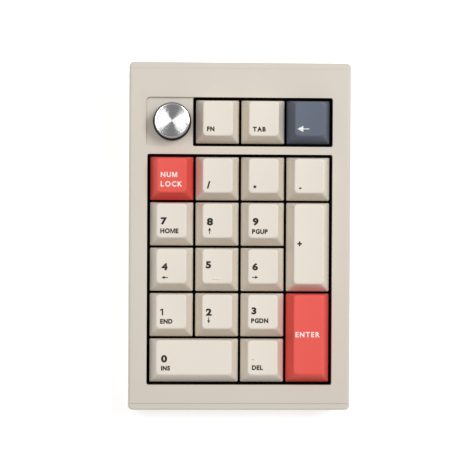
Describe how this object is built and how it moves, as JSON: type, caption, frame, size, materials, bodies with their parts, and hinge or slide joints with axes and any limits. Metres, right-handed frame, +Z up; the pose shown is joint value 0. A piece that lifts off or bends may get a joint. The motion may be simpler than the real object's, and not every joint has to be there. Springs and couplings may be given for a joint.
{
  "type": "numeric keypad",
  "caption": "Desk numeric keypad in a wedge-shaped plastic case, with sculpted keycaps that press down on mechanical switches and a metal rotary knob.",
  "frame": {"origin": "centre of the footprint, on the surface that the rubber feet stand on", "axes": "+Z up, +Y from the typist to the rear of the case, +X to the right; the key field leans back 5 degrees about X"},
  "size_m": [0.093, 0.1478, 0.0401],
  "materials": {
    "case_plastic": "warm beige-grey moulded plastic, fine satin texture",
    "keycap_ivory": "ivory, fine-textured semi-matt plastic",
    "keycap_red": "coral red, fine-textured semi-matt plastic",
    "keycap_slate": "blue-grey, fine-textured semi-matt plastic",
    "stem_plastic": "brown, smooth low-friction plastic",
    "plate_metal": "black powder-coated steel plate with black plastic switch housings",
    "board_laminate": "dark green solder mask on glass-fibre laminate",
    "damping_foam": "dark grey, soft, matt",
    "battery_foil": "dull silver laminate foil",
    "knob_metal": "spun top with a bright diamond-cut edge, satin side",
    "spring_steel": "plain bright steel",
    "dark_plastic": "black moulded plastic",
    "foot_rubber": "black, matt"
  },
  "bodies": {
    "case": {"switch_plate": "plate_metal", "top_case": "case_plastic", "bottom_case": "case_plastic", "circuit_board": "board_laminate", "damping_pad": "damping_foam", "battery": "battery_foil", "encoder_body": "dark_plastic", "usb_socket": "spring_steel", "power_switch": "dark_plastic", "foot_front_left": "foot_rubber", "foot_front_right": "foot_rubber", "foot_rear_left": "foot_rubber", "foot_rear_right": "foot_rubber"},
    "fn_key": {"key_fn": "keycap_ivory", "stem_fn": "stem_plastic"},
    "tab_key": {"key_tab": "keycap_ivory", "stem_tab": "stem_plastic"},
    "backspace_key": {"key_backspace": "keycap_slate", "stem_backspace": "stem_plastic"},
    "num_lock_key": {"key_num_lock": "keycap_red", "stem_num_lock": "stem_plastic"},
    "divide_key": {"key_divide": "keycap_ivory", "stem_divide": "stem_plastic"},
    "multiply_key": {"key_multiply": "keycap_ivory", "stem_multiply": "stem_plastic"},
    "minus_key": {"key_minus": "keycap_ivory", "stem_minus": "stem_plastic"},
    "seven_key": {"key_seven": "keycap_ivory", "stem_seven": "stem_plastic"},
    "eight_key": {"key_eight": "keycap_ivory", "stem_eight": "stem_plastic"},
    "nine_key": {"key_nine": "keycap_ivory", "stem_nine": "stem_plastic"},
    "plus_key": {"key_plus": "keycap_ivory", "stem_plus": "stem_plastic"},
    "four_key": {"key_four": "keycap_ivory", "stem_four": "stem_plastic"},
    "five_key": {"key_five": "keycap_ivory", "stem_five": "stem_plastic"},
    "six_key": {"key_six": "keycap_ivory", "stem_six": "stem_plastic"},
    "one_key": {"key_one": "keycap_ivory", "stem_one": "stem_plastic"},
    "two_key": {"key_two": "keycap_ivory", "stem_two": "stem_plastic"},
    "three_key": {"key_three": "keycap_ivory", "stem_three": "stem_plastic"},
    "enter_key": {"key_enter": "keycap_red", "stem_enter": "stem_plastic"},
    "zero_key": {"key_zero": "keycap_ivory", "stem_zero": "stem_plastic"},
    "decimal_key": {"key_decimal": "keycap_ivory", "stem_decimal": "stem_plastic"},
    "plus_stabiliser": {"wire_plus": "spring_steel"},
    "enter_stabiliser": {"wire_enter": "spring_steel"},
    "zero_stabiliser": {"wire_zero": "spring_steel"},
    "rotor": {"encoder_rotor": "dark_plastic"},
    "knob": {"knob": "knob_metal", "encoder_shaft": "spring_steel"},
    "power_slider": {"power_slider": "dark_plastic"}
  },
  "joints": [
    {"name": "fn_press", "type": "slide", "parent": "case", "child": "fn_key", "axis": [0, 0.0872, -0.9962], "range_m": [0, 0.004], "stiffness_N_per_m": 60, "springref_m": -0.0055},
    {"name": "tab_press", "type": "slide", "parent": "case", "child": "tab_key", "axis": [0, 0.0872, -0.9962], "range_m": [0, 0.004], "stiffness_N_per_m": 60, "springref_m": -0.0055},
    {"name": "backspace_press", "type": "slide", "parent": "case", "child": "backspace_key", "axis": [0, 0.0872, -0.9962], "range_m": [0, 0.004], "stiffness_N_per_m": 60, "springref_m": -0.0055},
    {"name": "num_lock_press", "type": "slide", "parent": "case", "child": "num_lock_key", "axis": [0, 0.0872, -0.9962], "range_m": [0, 0.004], "stiffness_N_per_m": 60, "springref_m": -0.0055},
    {"name": "divide_press", "type": "slide", "parent": "case", "child": "divide_key", "axis": [0, 0.0872, -0.9962], "range_m": [0, 0.004], "stiffness_N_per_m": 60, "springref_m": -0.0055},
    {"name": "multiply_press", "type": "slide", "parent": "case", "child": "multiply_key", "axis": [0, 0.0872, -0.9962], "range_m": [0, 0.004], "stiffness_N_per_m": 60, "springref_m": -0.0055},
    {"name": "minus_press", "type": "slide", "parent": "case", "child": "minus_key", "axis": [0, 0.0872, -0.9962], "range_m": [0, 0.004], "stiffness_N_per_m": 60, "springref_m": -0.0055},
    {"name": "seven_press", "type": "slide", "parent": "case", "child": "seven_key", "axis": [0, 0.0872, -0.9962], "range_m": [0, 0.004], "stiffness_N_per_m": 60, "springref_m": -0.0055},
    {"name": "eight_press", "type": "slide", "parent": "case", "child": "eight_key", "axis": [0, 0.0872, -0.9962], "range_m": [0, 0.004], "stiffness_N_per_m": 60, "springref_m": -0.0055},
    {"name": "nine_press", "type": "slide", "parent": "case", "child": "nine_key", "axis": [0, 0.0872, -0.9962], "range_m": [0, 0.004], "stiffness_N_per_m": 60, "springref_m": -0.0055},
    {"name": "plus_press", "type": "slide", "parent": "case", "child": "plus_key", "axis": [0, 0.0872, -0.9962], "range_m": [0, 0.004], "stiffness_N_per_m": 60, "springref_m": -0.0055},
    {"name": "four_press", "type": "slide", "parent": "case", "child": "four_key", "axis": [0, 0.0872, -0.9962], "range_m": [0, 0.004], "stiffness_N_per_m": 60, "springref_m": -0.0055},
    {"name": "five_press", "type": "slide", "parent": "case", "child": "five_key", "axis": [0, 0.0872, -0.9962], "range_m": [0, 0.004], "stiffness_N_per_m": 60, "springref_m": -0.0055},
    {"name": "six_press", "type": "slide", "parent": "case", "child": "six_key", "axis": [0, 0.0872, -0.9962], "range_m": [0, 0.004], "stiffness_N_per_m": 60, "springref_m": -0.0055},
    {"name": "one_press", "type": "slide", "parent": "case", "child": "one_key", "axis": [0, 0.0872, -0.9962], "range_m": [0, 0.004], "stiffness_N_per_m": 60, "springref_m": -0.0055},
    {"name": "two_press", "type": "slide", "parent": "case", "child": "two_key", "axis": [0, 0.0872, -0.9962], "range_m": [0, 0.004], "stiffness_N_per_m": 60, "springref_m": -0.0055},
    {"name": "three_press", "type": "slide", "parent": "case", "child": "three_key", "axis": [0, 0.0872, -0.9962], "range_m": [0, 0.004], "stiffness_N_per_m": 60, "springref_m": -0.0055},
    {"name": "enter_press", "type": "slide", "parent": "case", "child": "enter_key", "axis": [0, 0.0872, -0.9962], "range_m": [0, 0.004], "stiffness_N_per_m": 60, "springref_m": -0.0055},
    {"name": "zero_press", "type": "slide", "parent": "case", "child": "zero_key", "axis": [0, 0.0872, -0.9962], "range_m": [0, 0.004], "stiffness_N_per_m": 60, "springref_m": -0.0055},
    {"name": "decimal_press", "type": "slide", "parent": "case", "child": "decimal_key", "axis": [0, 0.0872, -0.9962], "range_m": [0, 0.004], "stiffness_N_per_m": 60, "springref_m": -0.0055},
    {"name": "plus_wire_turn", "type": "hinge", "parent": "case", "child": "plus_stabiliser", "pos_m": [0.0381, -0.00521, 0.02071], "axis": [0, -0.9962, -0.0872], "range_deg": [0, 27.7]},
    {"name": "enter_wire_turn", "type": "hinge", "parent": "case", "child": "enter_stabiliser", "pos_m": [0.0381, -0.04316, 0.01739], "axis": [0, -0.9962, -0.0872], "range_deg": [0, 27.7]},
    {"name": "zero_wire_turn", "type": "hinge", "parent": "case", "child": "zero_stabiliser", "pos_m": [-0.01905, -0.06214, 0.01573], "axis": [-1, 0, 0], "range_deg": [0, 27.7]},
    {"name": "knob_turn", "type": "hinge", "parent": "case", "child": "rotor", "pos_m": [-0.02857, 0.04709, 0.02398], "axis": [0, -0.0872, 0.9962], "continuous": true},
    {"name": "knob_press", "type": "slide", "parent": "rotor", "child": "knob", "axis": [0, 0.0872, -0.9962], "range_m": [0, 0.0005], "stiffness_N_per_m": 1500, "springref_m": -0.0015},
    {"name": "power_slide", "type": "slide", "parent": "case", "child": "power_slider", "axis": [1, 0, 0], "range_m": [-0.002, 0.002]}
  ],
  "couplings": [
    {"joint": "plus_wire_turn", "follows": "plus_press", "rad_per_m": 120.85},
    {"joint": "enter_wire_turn", "follows": "enter_press", "rad_per_m": 120.85},
    {"joint": "zero_wire_turn", "follows": "zero_press", "rad_per_m": 120.85}
  ]
}
